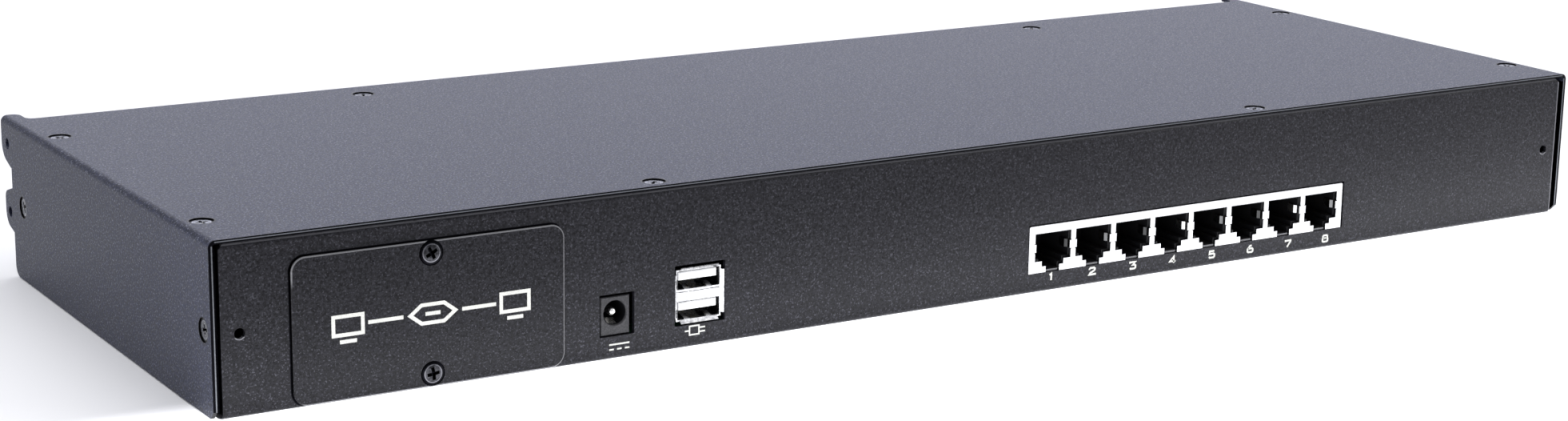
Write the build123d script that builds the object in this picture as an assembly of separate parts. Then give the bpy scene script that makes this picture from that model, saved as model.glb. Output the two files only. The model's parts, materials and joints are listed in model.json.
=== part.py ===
"""Rack-width KVM switch module: a folded steel tray and cover around one main board.

Frame: +Z up, the connector panel faces -Y, +X is to the right when facing that panel.
The origin is the bottom centre of the whole object's box. Millimetres throughout.
"""
from build123d import *
import os

# ---- driving dimensions -------------------------------------------------------------------
WIDTH = 440.0            # across the cover's sides
HEIGHT = 44.0            # one rack unit, tray bottom to cover top
BODY_DEPTH = 152.0       # cover, connector edge to front edge
EAR_REACH = 8.0          # upper ear beyond the cover's front edge
HEAD_OVERHANG = 0.9      # plate screw heads beyond the cover's connector edge

REAR_Y = -(BODY_DEPTH + EAR_REACH - HEAD_OVERHANG) / 2
FRONT_Y = REAR_Y + BODY_DEPTH

COVER_SHEET = 1.0
COVER_BEND = 1.8         # outer bend radius
SIDE_EDGE_Z = 0.4        # lower edge of the cover's sides
TRAY_SHEET = 1.2
TRAY_BEND = 1.4
WALL_RECESS = 0.4        # rear and front walls, in from the cover's edges
PAINT_GAP = 0.1

PANEL_Y = REAR_Y + WALL_RECESS
PANEL_INNER_Y = PANEL_Y + TRAY_SHEET
FRONT_WALL_Y = FRONT_Y - WALL_RECESS
TRAY_TOP = HEIGHT - COVER_SHEET - PAINT_GAP
TRAY_HALF = WIDTH / 2 - COVER_SHEET - 0.2
PANEL_HALF = TRAY_HALF - TRAY_SHEET - 0.1
SIDE_WALL_START = 2.0    # side walls begin this far in from the cover's edges
REAR_FLANGE = 11.0
FRONT_FLANGE = 15.0
TAB_LENGTH = 15.0
TAB_WIDTH = 12.0
CORNER_CUT = 1.5         # slanted upper corners of the end walls

# Screws: distances are measured from the cover's connector edge.
SCREW_HEAD_R = 2.7
SCREW_SHANK_R = 1.42
NUT_BORE_R = 1.5
SCREW_SINK = 0.35        # heads sit this far below the sheet
SINK_GAP = 0.3           # between a head and the wall of its sink
CORNER_SCREW_X = 214.2
CORNER_SCREW_DEPTHS = (19.5, 126.0)
REAR_SCREW_X = 99.2
REAR_SCREW_DEPTH = 5.1
FRONT_SCREW_X = 119.6
FRONT_SCREW_DEPTH = 141.5
SIDE_SCREW_Z = 21.4
SIDE_SCREW_DEPTHS = (5.0, 143.0)

# Ears that fasten the module to its console, and the tapped pair in the connector panel.
EAR_HOLE_R = 1.55
EAR_HOLE_REACH = 2.8
EAR_HOLE_Z = (17.7, 37.0)
LOWER_EAR_REACH = 6.8
EAR_WRAP = 5.0           # how far an upper ear folds over onto the top
FOOT_R = 3.0             # lower corner of each side, below the ears
PANEL_HOLE_R = 1.35
PANEL_HOLE_X = 212.8
PANEL_HOLE_Z = 20.7

# Option plate and the bay behind it.
PLATE_X = (-200.0, -127.6)
PLATE_Z = (0.7, 37.5)
PLATE_SHEET = 0.8
PLATE_CORNER = 3.7
PLATE_SCREW_Z = (4.0, 34.4)
BAY_X = (-193.0, -133.0)
BAY_Z = (7.5, 30.0)

# Main board and its connectors.
BOARD_TOP = 5.7
BOARD_SHEET = 1.6
BOARD_X = (-122.0, 148.0)
BOARD_Y = (PANEL_INNER_Y + 0.8, FRONT_WALL_Y - TRAY_SHEET - 1.0)

JACK_CUT_X = (-117.35, -107.35)
JACK_CUT_Z = (6.15, 17.25)
JACK_X = -112.65
JACK_WIDTH = 8.4
JACK_RECESS = 0.5        # its face behind the panel's
JACK_DEPTH = 13.0
JACK_TOP = 16.5
JACK_HOLE_Z = 12.15
JACK_HOLE_R = 3.15

USB_CENTRE_X = -88.15
USB_CUT_WIDTH = 14.9
USB_CUT_Z = (6.15, 22.2)
USB_INNER_WIDTH = 12.5
USB_PORT_HEIGHT = 4.9
USB_PORT_BOTTOMS = (7.5, 15.5)
USB_DEPTH = 17.0

PORT_COUNT = 8
PORT_PITCH = 13.97
PORTS_X = (16.6, 130.8)
PORTS_Z = (BOARD_TOP, 19.1)
PORTS_DEPTH = 18.0
PORT_TOP = 16.85
PORT_WIDTH = 12.3
PORT_CAVITY_DEPTH = 14.0

LINK_X = 0.0             # front link connector
LINK_Z = 12.6
LINK_CUT = (40.4, 9.8)
LINK_POST_X = 23.55      # its jack posts, to each side of its middle


# ---- helpers ------------------------------------------------------------------------------
def block(x, y, z):
    """Box between pairs of low and high coordinates."""
    size = Box(x[1] - x[0], y[1] - y[0], z[1] - z[0])
    return Pos((x[0] + x[1]) / 2, (y[0] + y[1]) / 2, (z[0] + z[1]) / 2) * size


def rod(x, y, z, radius, axis):
    """Cylinder along one axis; that axis is given as a low and high pair."""
    if axis == "z":
        return Pos(x, y, (z[0] + z[1]) / 2) * Cylinder(radius, z[1] - z[0])
    if axis == "y":
        return Pos(x, (y[0] + y[1]) / 2, z) * Rot(90, 0, 0) * Cylinder(radius, y[1] - y[0])
    return Pos((x[0] + x[1]) / 2, y, z) * Rot(0, 90, 0) * Cylinder(radius, x[1] - x[0])


def rounded_panel(x, z, y, corner):
    """Upright slab in X and Z with rounded corners, between two Y values."""
    outline = RectangleRounded(x[1] - x[0], z[1] - z[0], corner)
    origin = ((x[0] + x[1]) / 2, y[0], (z[0] + z[1]) / 2)
    place = Plane(origin=origin, x_dir=(1, 0, 0), z_dir=(0, 1, 0))
    return extrude(place * outline, amount=y[1] - y[0])


def side_prism(points, x):
    """Solid with an outline in Y and Z, between two X values."""
    plane = Plane(origin=(x[0], 0, 0), x_dir=(0, 1, 0), z_dir=(1, 0, 0))
    outline = make_face(Polyline(*points, close=True))
    return extrude(plane * outline, amount=x[1] - x[0])


def front_prism(points, y):
    """Solid with an outline in X and Z, between two Y values."""
    plane = Plane(origin=(0, y[0], 0), x_dir=(1, 0, 0), z_dir=(0, -1, 0))
    outline = make_face(Polyline(*points, close=True))
    return extrude(plane * outline, amount=-(y[1] - y[0]))


def ring_section(width, height, sheet, bend):
    """Closed rectangular ring of bent sheet, centred on its plane's origin."""
    outer = RectangleRounded(width, height, bend)
    inner = RectangleRounded(width - 2 * sheet, height - 2 * sheet, max(bend - sheet, 0.2))
    return outer - inner


def cross_recess(size, depth):
    """Tapered cross-head recess that opens at z = 0 and goes down."""
    arm = extrude(Rectangle(size, size * 0.28), amount=-depth, taper=14)
    other = extrude(Rectangle(size * 0.28, size), amount=-depth, taper=14)
    return arm + other


def flat_head_screw(head_r, shank_r, length, dome=0.0):
    """Countersunk screw along -Z with its rim at z = 0 and an optional raised dome."""
    sink = head_r - shank_r
    cone = Pos(0, 0, -sink / 2) * Cone(shank_r, head_r, sink)
    shank = Pos(0, 0, -length / 2) * Cylinder(shank_r, length)
    screw = cone + shank
    if dome:
        ball_r = (head_r ** 2 + dome ** 2) / (2 * dome)
        cap = Pos(0, 0, dome - ball_r) * Sphere(ball_r)
        screw += cap & Pos(0, 0, dome / 2) * Cylinder(head_r, dome)
    return screw - Pos(0, 0, dome) * cross_recess(head_r * 1.15, 1.1)


def tightened(screw, count):
    """A screw turned to the angle where tightening left it."""
    return Rot(0, 0, (8 + 20 * count) % 90) * screw


def sink_tool(radius):
    """Straight-walled sink with a cone and a clearance hole below, rim at z = 0."""
    wall = Pos(0, 0, -SCREW_SINK / 2) * Cylinder(radius + SINK_GAP, SCREW_SINK)
    seat_r = radius + 0.06
    seat = Pos(0, 0, -SCREW_SINK - seat_r / 2) * Cone(0.01, seat_r, seat_r)
    return wall + seat + Pos(0, 0, -3) * Cylinder(2.0, 6)


def clinch_nut(radius, length):
    """Round threaded insert along -Z with its top face at z = 0."""
    barrel = Pos(0, 0, -length / 2) * Cylinder(radius, length)
    return barrel - Pos(0, 0, -length / 2) * Cylinder(NUT_BORE_R, length)


def turned(shape, x, y, z, facing):
    """Place a shape whose outward end is +Z so that it faces the named direction."""
    turn = {"up": (0, 0, 0), "rear": (90, 0, 0), "left": (0, -90, 0), "right": (0, 90, 0)}
    return Pos(x, y, z) * Rot(*turn[facing]) * shape


def top_screw_places():
    places = []
    for side in (-1, 1):
        for depth in CORNER_SCREW_DEPTHS:
            places.append((side * CORNER_SCREW_X, REAR_Y + depth))
        places.append((side * REAR_SCREW_X, REAR_Y + REAR_SCREW_DEPTH))
        places.append((side * FRONT_SCREW_X, REAR_Y + FRONT_SCREW_DEPTH))
    return places


def port_centres():
    middle = (PORTS_X[0] + PORTS_X[1]) / 2
    return [middle + (k - (PORT_COUNT - 1) / 2) * PORT_PITCH for k in range(PORT_COUNT)]


nodes = {}

# ---- cover --------------------------------------------------------------------------------
def make_cover():
    """Folded top and sides, with two ears on each side that reach past the front edge."""
    height = HEIGHT - SIDE_EDGE_Z
    tall = 2 * height
    section = ring_section(WIDTH, tall, COVER_SHEET, COVER_BEND)
    section -= Pos(0, -tall / 4 - 0.5) * Rectangle(WIDTH + 2, tall / 2 + 1)
    plane = Plane(origin=(0, REAR_Y, SIDE_EDGE_Z), x_dir=(1, 0, 0), z_dir=(0, -1, 0))
    shell = extrude(plane * section, amount=-(BODY_DEPTH + EAR_REACH))

    tip = FRONT_Y + EAR_REACH
    low_tip = FRONT_Y + LOWER_EAR_REACH
    start = (REAR_Y, SIDE_EDGE_Z + 2.0)
    foot = (FRONT_Y - FOOT_R, SIDE_EDGE_Z)
    outline = Polyline((REAR_Y, HEIGHT + 1), start, (REAR_Y + 2.0, SIDE_EDGE_Z), foot)
    outline += RadiusArc(foot, (FRONT_Y, SIDE_EDGE_Z + FOOT_R), -FOOT_R)
    outline += Polyline((FRONT_Y, SIDE_EDGE_Z + FOOT_R), (FRONT_Y, 12.4), (FRONT_Y + 3.4, 13.3))
    outline += ThreePointArc((FRONT_Y + 3.4, 13.3), (FRONT_Y + 5.8, 14.8), (low_tip, 17.4))
    outline += Line((low_tip, 17.4), (low_tip, 21.0))
    outline += ThreePointArc((low_tip, 21.0), (FRONT_Y + 6.2, 22.6), (FRONT_Y + 4.8, 23.5))
    outline += Polyline((FRONT_Y + 4.8, 23.5), (FRONT_Y, 25.0), (FRONT_Y, 30.5), (FRONT_Y + 4.2, 31.9))
    outline += ThreePointArc((FRONT_Y + 4.2, 31.9), (FRONT_Y + 6.9, 33.7), (tip, 36.8))
    outline += Polyline((tip, 36.8), (tip, HEIGHT + 1), (REAR_Y, HEIGHT + 1))
    side_plane = Plane(origin=(-WIDTH / 2 - 1, 0, 0), x_dir=(0, 1, 0), z_dir=(1, 0, 0))
    keep = extrude(side_plane * make_face(outline), amount=WIDTH + 2)
    shell = shell & keep

    # The top face ends at the front edge; only a short wrap stays above each upper ear.
    half = WIDTH / 2 - EAR_WRAP
    shell -= block((-half, half), (FRONT_Y, tip + 1), (HEIGHT - 4, HEIGHT + 1))
    corners = [e for e in shell.edges().filter_by(Axis.Z) if abs(abs(e.center().X) - half) < 0.01]
    shell = fillet(corners, 2.5)

    for x, y in top_screw_places():
        shell -= turned(sink_tool(SCREW_HEAD_R), x, y, HEIGHT, "up")
    for side, facing in ((-1, "left"), (1, "right")):
        for depth in SIDE_SCREW_DEPTHS:
            y = REAR_Y + depth
            shell -= turned(sink_tool(SCREW_HEAD_R), side * WIDTH / 2, y, SIDE_SCREW_Z, facing)
        for z in EAR_HOLE_Z:
            low_x = side * WIDTH / 2 - 3
            shell -= rod((low_x, low_x + 6), FRONT_Y + EAR_HOLE_REACH, z, EAR_HOLE_R, "x")
    return shell


nodes["top_cover"] = make_cover()


# ---- tray ---------------------------------------------------------------------------------
def make_tray():
    """Base with four upturned walls and the top flanges that take the cover screws."""
    depth = FRONT_WALL_Y - PANEL_Y
    middle_y = (FRONT_WALL_Y + PANEL_Y) / 2
    lengthwise = ring_section(depth, TRAY_TOP, TRAY_SHEET, TRAY_BEND)
    plane = Plane(origin=(-PANEL_HALF, middle_y, TRAY_TOP / 2), x_dir=(0, 1, 0), z_dir=(1, 0, 0))
    tray = extrude(plane * lengthwise, amount=2 * PANEL_HALF)
    gap_y = (PANEL_Y + REAR_FLANGE, FRONT_WALL_Y - FRONT_FLANGE)
    tray -= block((-WIDTH, WIDTH), gap_y, (TRAY_TOP - 2 * TRAY_SHEET, TRAY_TOP + 1))

    side_y = (REAR_Y + SIDE_WALL_START, FRONT_Y - SIDE_WALL_START)
    crosswise = ring_section(2 * TRAY_HALF, TRAY_TOP, TRAY_SHEET, TRAY_BEND)
    plane = Plane(origin=(0, side_y[0], TRAY_TOP / 2), x_dir=(1, 0, 0), z_dir=(0, -1, 0))
    sides = extrude(plane * crosswise, amount=-(side_y[1] - side_y[0]))
    tab_x = TRAY_HALF - TAB_WIDTH
    above = (TRAY_TOP - 2 * TRAY_SHEET, TRAY_TOP + 1)
    sides -= block((-tab_x, tab_x), (side_y[0] - 1, side_y[1] + 1), above)
    tabs = [(REAR_Y + d - TAB_LENGTH / 2, REAR_Y + d + TAB_LENGTH / 2) for d in CORNER_SCREW_DEPTHS]
    bare = [(side_y[0] - 1, tabs[0][0]), (tabs[0][1], tabs[1][0]), (tabs[1][1], side_y[1] + 1)]
    for stretch in bare:
        sides -= block((-WIDTH, WIDTH), stretch, (TRAY_TOP - TRAY_BEND, TRAY_TOP + 1))
    tray += sides

    # The end walls' upper corners are cut off at a slant.
    for side in (-1, 1):
        tip = side * PANEL_HALF
        corner = [
            (tip - side * CORNER_CUT, TRAY_TOP + 0.01),
            (tip + side * 0.01, TRAY_TOP + 0.01),
            (tip + side * 0.01, TRAY_TOP - CORNER_CUT),
        ]
        tray -= front_prism(corner, (REAR_Y - 1, PANEL_Y + REAR_FLANGE + 0.1))
        tray -= front_prism(corner, (FRONT_WALL_Y - FRONT_FLANGE - 0.1, FRONT_Y + 1))

    through = (PANEL_Y - 1, PANEL_INNER_Y + 1)
    tray -= rounded_panel(BAY_X, BAY_Z, through, 2.0)
    tray -= rounded_panel(JACK_CUT_X, JACK_CUT_Z, through, 0.3)
    usb_x = (USB_CENTRE_X - USB_CUT_WIDTH / 2, USB_CENTRE_X + USB_CUT_WIDTH / 2)
    tray -= rounded_panel(usb_x, USB_CUT_Z, through, 0.4)
    ports_x = (PORTS_X[0] - 0.35, PORTS_X[1] + 0.55)
    tray -= rounded_panel(ports_x, (PORTS_Z[0] - 0.1, PORTS_Z[1] + 0.45), through, 0.4)
    for side in (-1, 1):
        tray -= rod(side * PANEL_HOLE_X, through, PANEL_HOLE_Z, PANEL_HOLE_R, "y")
    for z in PLATE_SCREW_Z:
        tray -= rod((PLATE_X[0] + PLATE_X[1]) / 2, through, z, 2.2, "y")

    for x, y in top_screw_places():
        tray -= rod(x, y, (TRAY_TOP - 3, TRAY_TOP + 1), 2.3, "z")
    for side in (-1, 1):
        wall = sorted((side * (TRAY_HALF - 3), side * (TRAY_HALF + 1)))
        for depth in SIDE_SCREW_DEPTHS:
            tray -= rod(wall, REAR_Y + depth, SIDE_SCREW_Z, 2.3, "x")

    front = (FRONT_WALL_Y - TRAY_SHEET - 1, FRONT_WALL_Y + 1)
    link_cut_x = (LINK_X - LINK_CUT[0] / 2, LINK_X + LINK_CUT[0] / 2)
    link_cut_z = (LINK_Z - LINK_CUT[1] / 2, LINK_Z + LINK_CUT[1] / 2)
    tray -= rounded_panel(link_cut_x, link_cut_z, front, 1.5)
    for side in (-1, 1):
        tray -= rod(LINK_X + side * LINK_POST_X, front, LINK_Z, 1.7, "y")
    return tray


nodes["chassis_tray"] = make_tray()


# ---- option plate and fasteners -----------------------------------------------------------
def make_option_plate():
    """Blanking plate over the option bay, softened along its outer edge."""
    outer_y = PANEL_Y - PAINT_GAP - PLATE_SHEET
    plate = rounded_panel(PLATE_X, PLATE_Z, (outer_y, outer_y + PLATE_SHEET), PLATE_CORNER)
    plate = chamfer(plate.faces().sort_by(Axis.Y)[0].edges(), 0.25)
    middle = (PLATE_X[0] + PLATE_X[1]) / 2
    for z in PLATE_SCREW_Z:
        plate -= turned(sink_tool(2.9), middle, outer_y, z, "rear")
    return plate


nodes["option_plate"] = make_option_plate()

plate_face_y = PANEL_Y - PAINT_GAP - PLATE_SHEET
plate_middle = (PLATE_X[0] + PLATE_X[1]) / 2
dome = plate_face_y - (REAR_Y - HEAD_OVERHANG)
plate_screw = flat_head_screw(2.9, 1.3, 5.0, dome)
plate_screws = []
for z in PLATE_SCREW_Z:
    screw = tightened(plate_screw, len(plate_screws))
    plate_screws.append(turned(screw, plate_middle, plate_face_y, z, "rear"))
nodes["option_plate_screws"] = Compound(children=plate_screws)
plate_nut = clinch_nut(1.85, 2.4)
plate_nuts = [turned(plate_nut, plate_middle, PANEL_INNER_Y, z, "rear") for z in PLATE_SCREW_Z]
nodes["option_plate_nuts"] = Compound(children=plate_nuts)

sheet_screw = flat_head_screw(SCREW_HEAD_R, SCREW_SHANK_R, 4.4)
top_screws = []
for x, y in top_screw_places():
    screw = tightened(sheet_screw, len(top_screws))
    top_screws.append(turned(screw, x, y, HEIGHT - SCREW_SINK, "up"))
nodes["cover_top_screws"] = Compound(children=top_screws)
top_nut = clinch_nut(2.5, 2.2)
nodes["cover_top_nuts"] = Compound(
    children=[turned(top_nut, x, y, TRAY_TOP - TRAY_SHEET, "up") for x, y in top_screw_places()]
)
side_screws = []
side_nuts = []
for side, facing in ((-1, "left"), (1, "right")):
    for depth in SIDE_SCREW_DEPTHS:
        y = REAR_Y + depth
        head_x = side * (WIDTH / 2 - SCREW_SINK)
        screw = tightened(sheet_screw, len(side_screws))
        side_screws.append(turned(screw, head_x, y, SIDE_SCREW_Z, facing))
        nut_x = side * (TRAY_HALF - TRAY_SHEET)
        side_nuts.append(turned(clinch_nut(2.5, 2.0), nut_x, y, SIDE_SCREW_Z, facing))
nodes["cover_side_screws"] = Compound(children=side_screws)
nodes["cover_side_nuts"] = Compound(children=side_nuts)

# ---- board, supports and insulation -------------------------------------------------------
STANDOFF_R = 2.75
board_holes = [(x, y) for x in (-116.0, -56.0, 10.0, 74.4, 142.0) for y in (-42.0, 52.0)]


def make_board():
    board = block(BOARD_X, BOARD_Y, (BOARD_TOP - BOARD_SHEET, BOARD_TOP))
    for x, y in board_holes:
        board -= rod(x, y, (0, 10), 1.6, "z")
    return board


def make_insulator():
    low = TRAY_SHEET + 0.1
    inset = 3.0
    x = (BOARD_X[0] + inset, BOARD_X[1] - inset)
    y = (BOARD_Y[0] + inset, BOARD_Y[1] - inset)
    sheet = block(x, y, (low, low + 0.25))
    for x, y in board_holes:
        sheet -= rod(x, y, (0, 10), STANDOFF_R + 0.6, "z")
    return sheet


def board_screw():
    """Pan-head screw, seat at z = 0, head above."""
    head = Pos(0, 0, 0.9) * Cylinder(2.75, 1.8)
    head = fillet(head.faces().sort_by(Axis.Z)[-1].edges(), 0.7)
    screw = head + Pos(0, 0, -1.9) * Cylinder(1.3, 3.8)
    return screw - Pos(0, 0, 1.8) * cross_recess(3.0, 1.1)


def hex_standoff(height):
    post = extrude(RegularPolygon(STANDOFF_R + 0.2, 6), amount=height)
    return post - Pos(0, 0, height / 2) * Cylinder(NUT_BORE_R - 0.1, height)


nodes["main_board"] = make_board()
nodes["insulating_sheet"] = make_insulator()
standoff_height = BOARD_TOP - BOARD_SHEET - TRAY_SHEET
nodes["board_standoffs"] = Compound(
    children=[Pos(x, y, TRAY_SHEET) * hex_standoff(standoff_height) for x, y in board_holes]
)
nodes["board_screws"] = Compound(
    children=[Pos(x, y, BOARD_TOP) * board_screw() for x, y in board_holes]
)
bay_posts = [(x, y) for x in (-188.0, -138.0) for y in (-66.0, -6.0)]
nodes["option_bay_standoffs"] = Compound(
    children=[Pos(x, y, TRAY_SHEET) * hex_standoff(5.0) for x, y in bay_posts]
)


# ---- modular port block -------------------------------------------------------------------
# Steps down one side of an opening: half width, and the height where it narrows.
SHIELD_STEPS = ((PORT_WIDTH / 2, 8.9), (3.75, 7.4), (2.35, PORTS_Z[0] - 0.5))
HOUSING_STEPS = ((PORT_WIDTH / 2, 9.35), (4.0, 7.85), (2.5, PORTS_Z[0] + 0.6))
SHIELD_SHEET = 0.3
SPRING_Z = (11.6, 13.85)
PORT_FACE_Y = PANEL_Y + 0.1
HOUSING_FACE_Y = PORT_FACE_Y + 1.2

# Section of one side spring: distance in from the opening's side, and depth behind the face.
SPRING_SECTION = (
    (-0.1, 0.0), (0.35, 0.0), (0.38, 0.25), (0.24, 0.5), (0.24, 1.3), (0.84, 2.05), (0.84, 2.8),
    (0.32, 5.2), (0.16, 5.2), (0.66, 2.8), (0.66, 2.12), (0.06, 1.38), (0.06, 0.4), (-0.1, SHIELD_SHEET),
)


def port_outline(centre, steps, top):
    """Stepped port opening with its latch way at the bottom."""
    left = []
    level = top
    for half, step in steps:
        left += [(centre - half, level), (centre - half, step)]
        level = step
    right = [(2 * centre - x, z) for x, z in reversed(left)]
    return left + right


def port_spring(edge, side):
    """Leaf that is bent back from the face beside an opening and bulges into it."""
    section = [(edge - side * inward, PORT_FACE_Y + depth) for inward, depth in SPRING_SECTION]
    plane = Plane.XY.offset(SPRING_Z[0])
    return extrude(plane * make_face(Polyline(*section, close=True)), amount=SPRING_Z[1] - SPRING_Z[0])


def make_port_shield():
    """Plated wrap: front face with eight openings, top, sides and back, and a spring each side."""
    y = (PORT_FACE_Y, PORT_FACE_Y + PORTS_DEPTH)
    shield = block(PORTS_X, y, PORTS_Z)
    long_edges = [e for e in shield.edges().filter_by(Axis.Y) if e.center().Z > PORTS_Z[1] - 0.1]
    shield = fillet(long_edges, 0.5)
    inner_x = (PORTS_X[0] + SHIELD_SHEET, PORTS_X[1] - SHIELD_SHEET)
    inner_y = (y[0] + SHIELD_SHEET, y[1] - SHIELD_SHEET)
    hollow = block(inner_x, inner_y, (PORTS_Z[0] - 1, PORTS_Z[1] - SHIELD_SHEET))
    shield -= fillet([e for e in hollow.edges().filter_by(Axis.Y) if e.center().Z > PORTS_Z[0]], 0.25)

    notch_y = (PORT_FACE_Y - 1, PORT_FACE_Y + SHIELD_SHEET + 0.05)
    for centre in port_centres():
        shield -= front_prism(port_outline(centre, SHIELD_STEPS, PORT_TOP), notch_y)
        for side in (-1, 1):
            edge = centre + side * PORT_WIDTH / 2
            notch_x = sorted((edge - side * 0.1, edge + side * 0.22))
            shield -= block(notch_x, notch_y, (SPRING_Z[1], SPRING_Z[1] + 0.3))
            shield -= block(notch_x, notch_y, (SPRING_Z[0] - 0.3, SPRING_Z[0]))
            shield += port_spring(edge, side)
    return shield


def make_port_housing():
    """Moulded block set back behind the shield's face, with a stepped cavity for each plug."""
    gap = SHIELD_SHEET + 0.1
    x = (PORTS_X[0] + gap, PORTS_X[1] - gap)
    y = (HOUSING_FACE_Y, PORT_FACE_Y + PORTS_DEPTH - gap)
    floor_z = PORTS_Z[0] + 0.05
    housing = block(x, y, (floor_z, PORTS_Z[1] - gap))
    for centre in port_centres():
        cavity = (HOUSING_FACE_Y - 1, PORT_FACE_Y + PORT_CAVITY_DEPTH)
        housing -= front_prism(port_outline(centre, HOUSING_STEPS, PORT_TOP + 0.1), cavity)
    rims = [e for e in housing.edges() if abs(e.center().Y - HOUSING_FACE_Y) < 0.01]
    housing = chamfer(rims, 0.12)
    for centre in port_centres():
        sill_y = (PORT_FACE_Y + 0.5, HOUSING_FACE_Y + 1)
        housing += block((centre - 2.1, centre + 2.1), sill_y, (floor_z, floor_z + 0.5))
    return housing


def make_port_contacts():
    """Eight spring wires in each port, from the cavity's roof down towards its back."""
    wire = 0.35
    contacts = []
    points = (
        (PANEL_Y + 2.2, PORT_TOP - 0.1),
        (PANEL_Y + 2.2, PORT_TOP - 0.5),
        (PANEL_Y + 11.4, PORT_TOP - 3.25),
        (PANEL_Y + 11.6, PORT_TOP - 2.9),
    )
    for centre in port_centres():
        for k in range(8):
            x = centre + (k - 3.5) * 1.016
            contacts.append(side_prism(points, (x - wire / 2, x + wire / 2)))
    return Compound(children=contacts)


nodes["port_shield"] = make_port_shield()
nodes["port_housing"] = make_port_housing()
nodes["port_contacts"] = make_port_contacts()

# ---- stacked USB connector ----------------------------------------------------------------
USB_SHEET = 0.35
USB_LIP = 0.88           # the lips flare out and forward by this much
USB_TONGUE_Z = (2.4, 4.5)
USB_CONTACT_X = (-3.5, -1.0, 1.0, 3.5)


def make_usb_shell():
    """Plated double shell with flared lips, a middle web and two spring fingers per port."""
    half = USB_INNER_WIDTH / 2
    low = USB_PORT_BOTTOMS[0]
    high = USB_PORT_BOTTOMS[1] + USB_PORT_HEIGHT
    y = (PANEL_Y + USB_LIP - 0.05, PANEL_Y + USB_DEPTH)
    outer_x = (USB_CENTRE_X - half - USB_SHEET, USB_CENTRE_X + half + USB_SHEET)
    shell = block(outer_x, y, (low - USB_SHEET, high + USB_SHEET))
    inner_x = (USB_CENTRE_X - half, USB_CENTRE_X + half)
    for bottom in USB_PORT_BOTTOMS:
        shell -= block(inner_x, (y[0] - 1, y[1] - USB_SHEET), (bottom, bottom + USB_PORT_HEIGHT))
    web_z = (USB_PORT_BOTTOMS[0] + USB_PORT_HEIGHT, USB_PORT_BOTTOMS[1])
    shell -= block(inner_x, (PANEL_Y + 4, y[1] - USB_SHEET), (web_z[0] + USB_SHEET, web_z[1] - USB_SHEET))
    groove_z = web_z[1] - 0.75
    shell -= block(inner_x, (y[0] - 1, y[0] + 0.4), (groove_z, groove_z + 0.22))

    # Flared lips: how far each point stands outwards, and its depth from the shell's front.
    lip = ((0.0, 0.02), (USB_SHEET, 0.3), (USB_LIP + 0.14, 0.2 - USB_LIP), (USB_LIP, -USB_LIP))
    for side in (-1, 1):
        edge = USB_CENTRE_X + side * half
        face = make_face(Polyline(*[(edge + side * out, y[0] + back) for out, back in lip], close=True))
        shell += extrude(Plane.XY.offset(low + 0.7) * face, amount=high - low - 1.4)
    for up, edge in ((-1, low), (1, high)):
        points = [(y[0] + back, edge + up * out) for out, back in lip]
        shell += side_prism(points, (USB_CENTRE_X - half + 0.7, USB_CENTRE_X + half - 0.7))

    for bottom in USB_PORT_BOTTOMS:
        for side in (-1, 1):
            x = USB_CENTRE_X + side * 3.2
            finger = [
                (y[0] + 0.3, bottom - 0.1),
                (y[0] + 0.3, bottom + 0.12),
                (y[0] + 2.6, bottom + 0.85),
                (y[0] + 3.4, bottom + 0.85),
                (y[0] + 6.4, bottom + 0.1),
                (y[0] + 6.4, bottom - 0.1),
            ]
            shell += side_prism(finger, (x - 0.8, x + 0.8))
    return shell


def make_usb_insulator():
    """Tongues of both ports, joined by the moulding at the back."""
    gap = 0.08
    half = USB_INNER_WIDTH / 2 - gap
    back_y = (PANEL_Y + 11.5, PANEL_Y + USB_DEPTH - USB_SHEET - gap)
    parts = []
    for bottom in USB_PORT_BOTTOMS:
        tongue_z = (bottom + USB_TONGUE_Z[0], bottom + USB_TONGUE_Z[1])
        tongue = block((USB_CENTRE_X - 5.6, USB_CENTRE_X + 5.6), (PANEL_Y + 1.2, back_y[0] + 1), tongue_z)
        tongue = chamfer(tongue.faces().sort_by(Axis.Y)[0].edges(), 0.3)
        back_x = (USB_CENTRE_X - half, USB_CENTRE_X + half)
        back = block(back_x, back_y, (bottom + gap, bottom + USB_PORT_HEIGHT - gap))
        groove_z = (tongue_z[0] - 0.1, tongue_z[0] + 0.3)
        for x in USB_CONTACT_X:
            groove_x = (USB_CENTRE_X + x - 0.6, USB_CENTRE_X + x + 0.6)
            groove = block(groove_x, (PANEL_Y + 1.9, back_y[1] + 1), groove_z)
            tongue -= groove
            back -= groove
        parts.append(tongue + back)
    return Compound(children=parts)


def make_usb_contacts():
    contacts = []
    for bottom in USB_PORT_BOTTOMS:
        z = bottom + USB_TONGUE_Z[0]
        for x in USB_CONTACT_X:
            place = USB_CENTRE_X + x
            strip = block((place - 0.5, place + 0.5), (PANEL_Y + 2.1, PANEL_Y + 16.0), (z + 0.02, z + 0.22))
            contacts.append(strip)
    return Compound(children=contacts)


nodes["usb_shell"] = make_usb_shell()
nodes["usb_insulator"] = make_usb_insulator()
nodes["usb_contacts"] = make_usb_contacts()

# ---- power inlet --------------------------------------------------------------------------
JACK_FACE_Y = PANEL_Y + JACK_RECESS


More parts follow.
